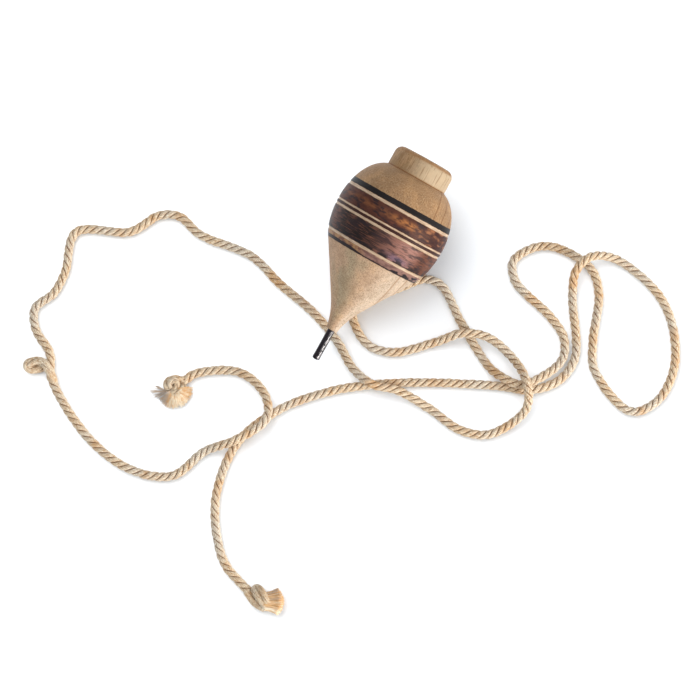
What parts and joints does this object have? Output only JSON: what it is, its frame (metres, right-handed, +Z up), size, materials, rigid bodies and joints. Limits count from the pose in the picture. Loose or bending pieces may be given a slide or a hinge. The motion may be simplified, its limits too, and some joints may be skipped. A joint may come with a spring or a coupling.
{
  "type": "spinning top",
  "caption": "Turned wooden peg top with a steel pin, lying on its belly on the loosely laid cotton cord that is wound round it to spin it; the cord is knotted and frayed at both ends.",
  "frame": {"origin": "on the surface that the top lies on, under the middle of the top's own box, the cord left out", "axes": "+Z up from the surface; the top's axis lies in the Y-Z plane, its crown towards +Y and raised 14 degrees, its pin towards -Y"},
  "size_m": [0.2661, 0.2163, 0.0518],
  "materials": {
    "wood": "bare turned wood with burnt bands",
    "steel": "dark drawn steel",
    "cord": "three-strand laid cotton",
    "frayed_cord": "loose cotton fibres"
  },
  "bodies": {
    "cord": {"cord": "cord", "cord_kink": "cord", "brush_knot": "cord", "brush_fray": "frayed_cord", "flared_knot": "cord", "flared_fray": "frayed_cord"},
    "top": {"wooden_body": "wood", "steel_tip": "steel"}
  },
  "joints": [
    {"name": "top_spin", "type": "hinge", "parent": "cord", "child": "top", "pos_m": [0, 0.04734, 0.03393], "axis": [0, 0.9703, 0.2419], "continuous": true}
  ]
}
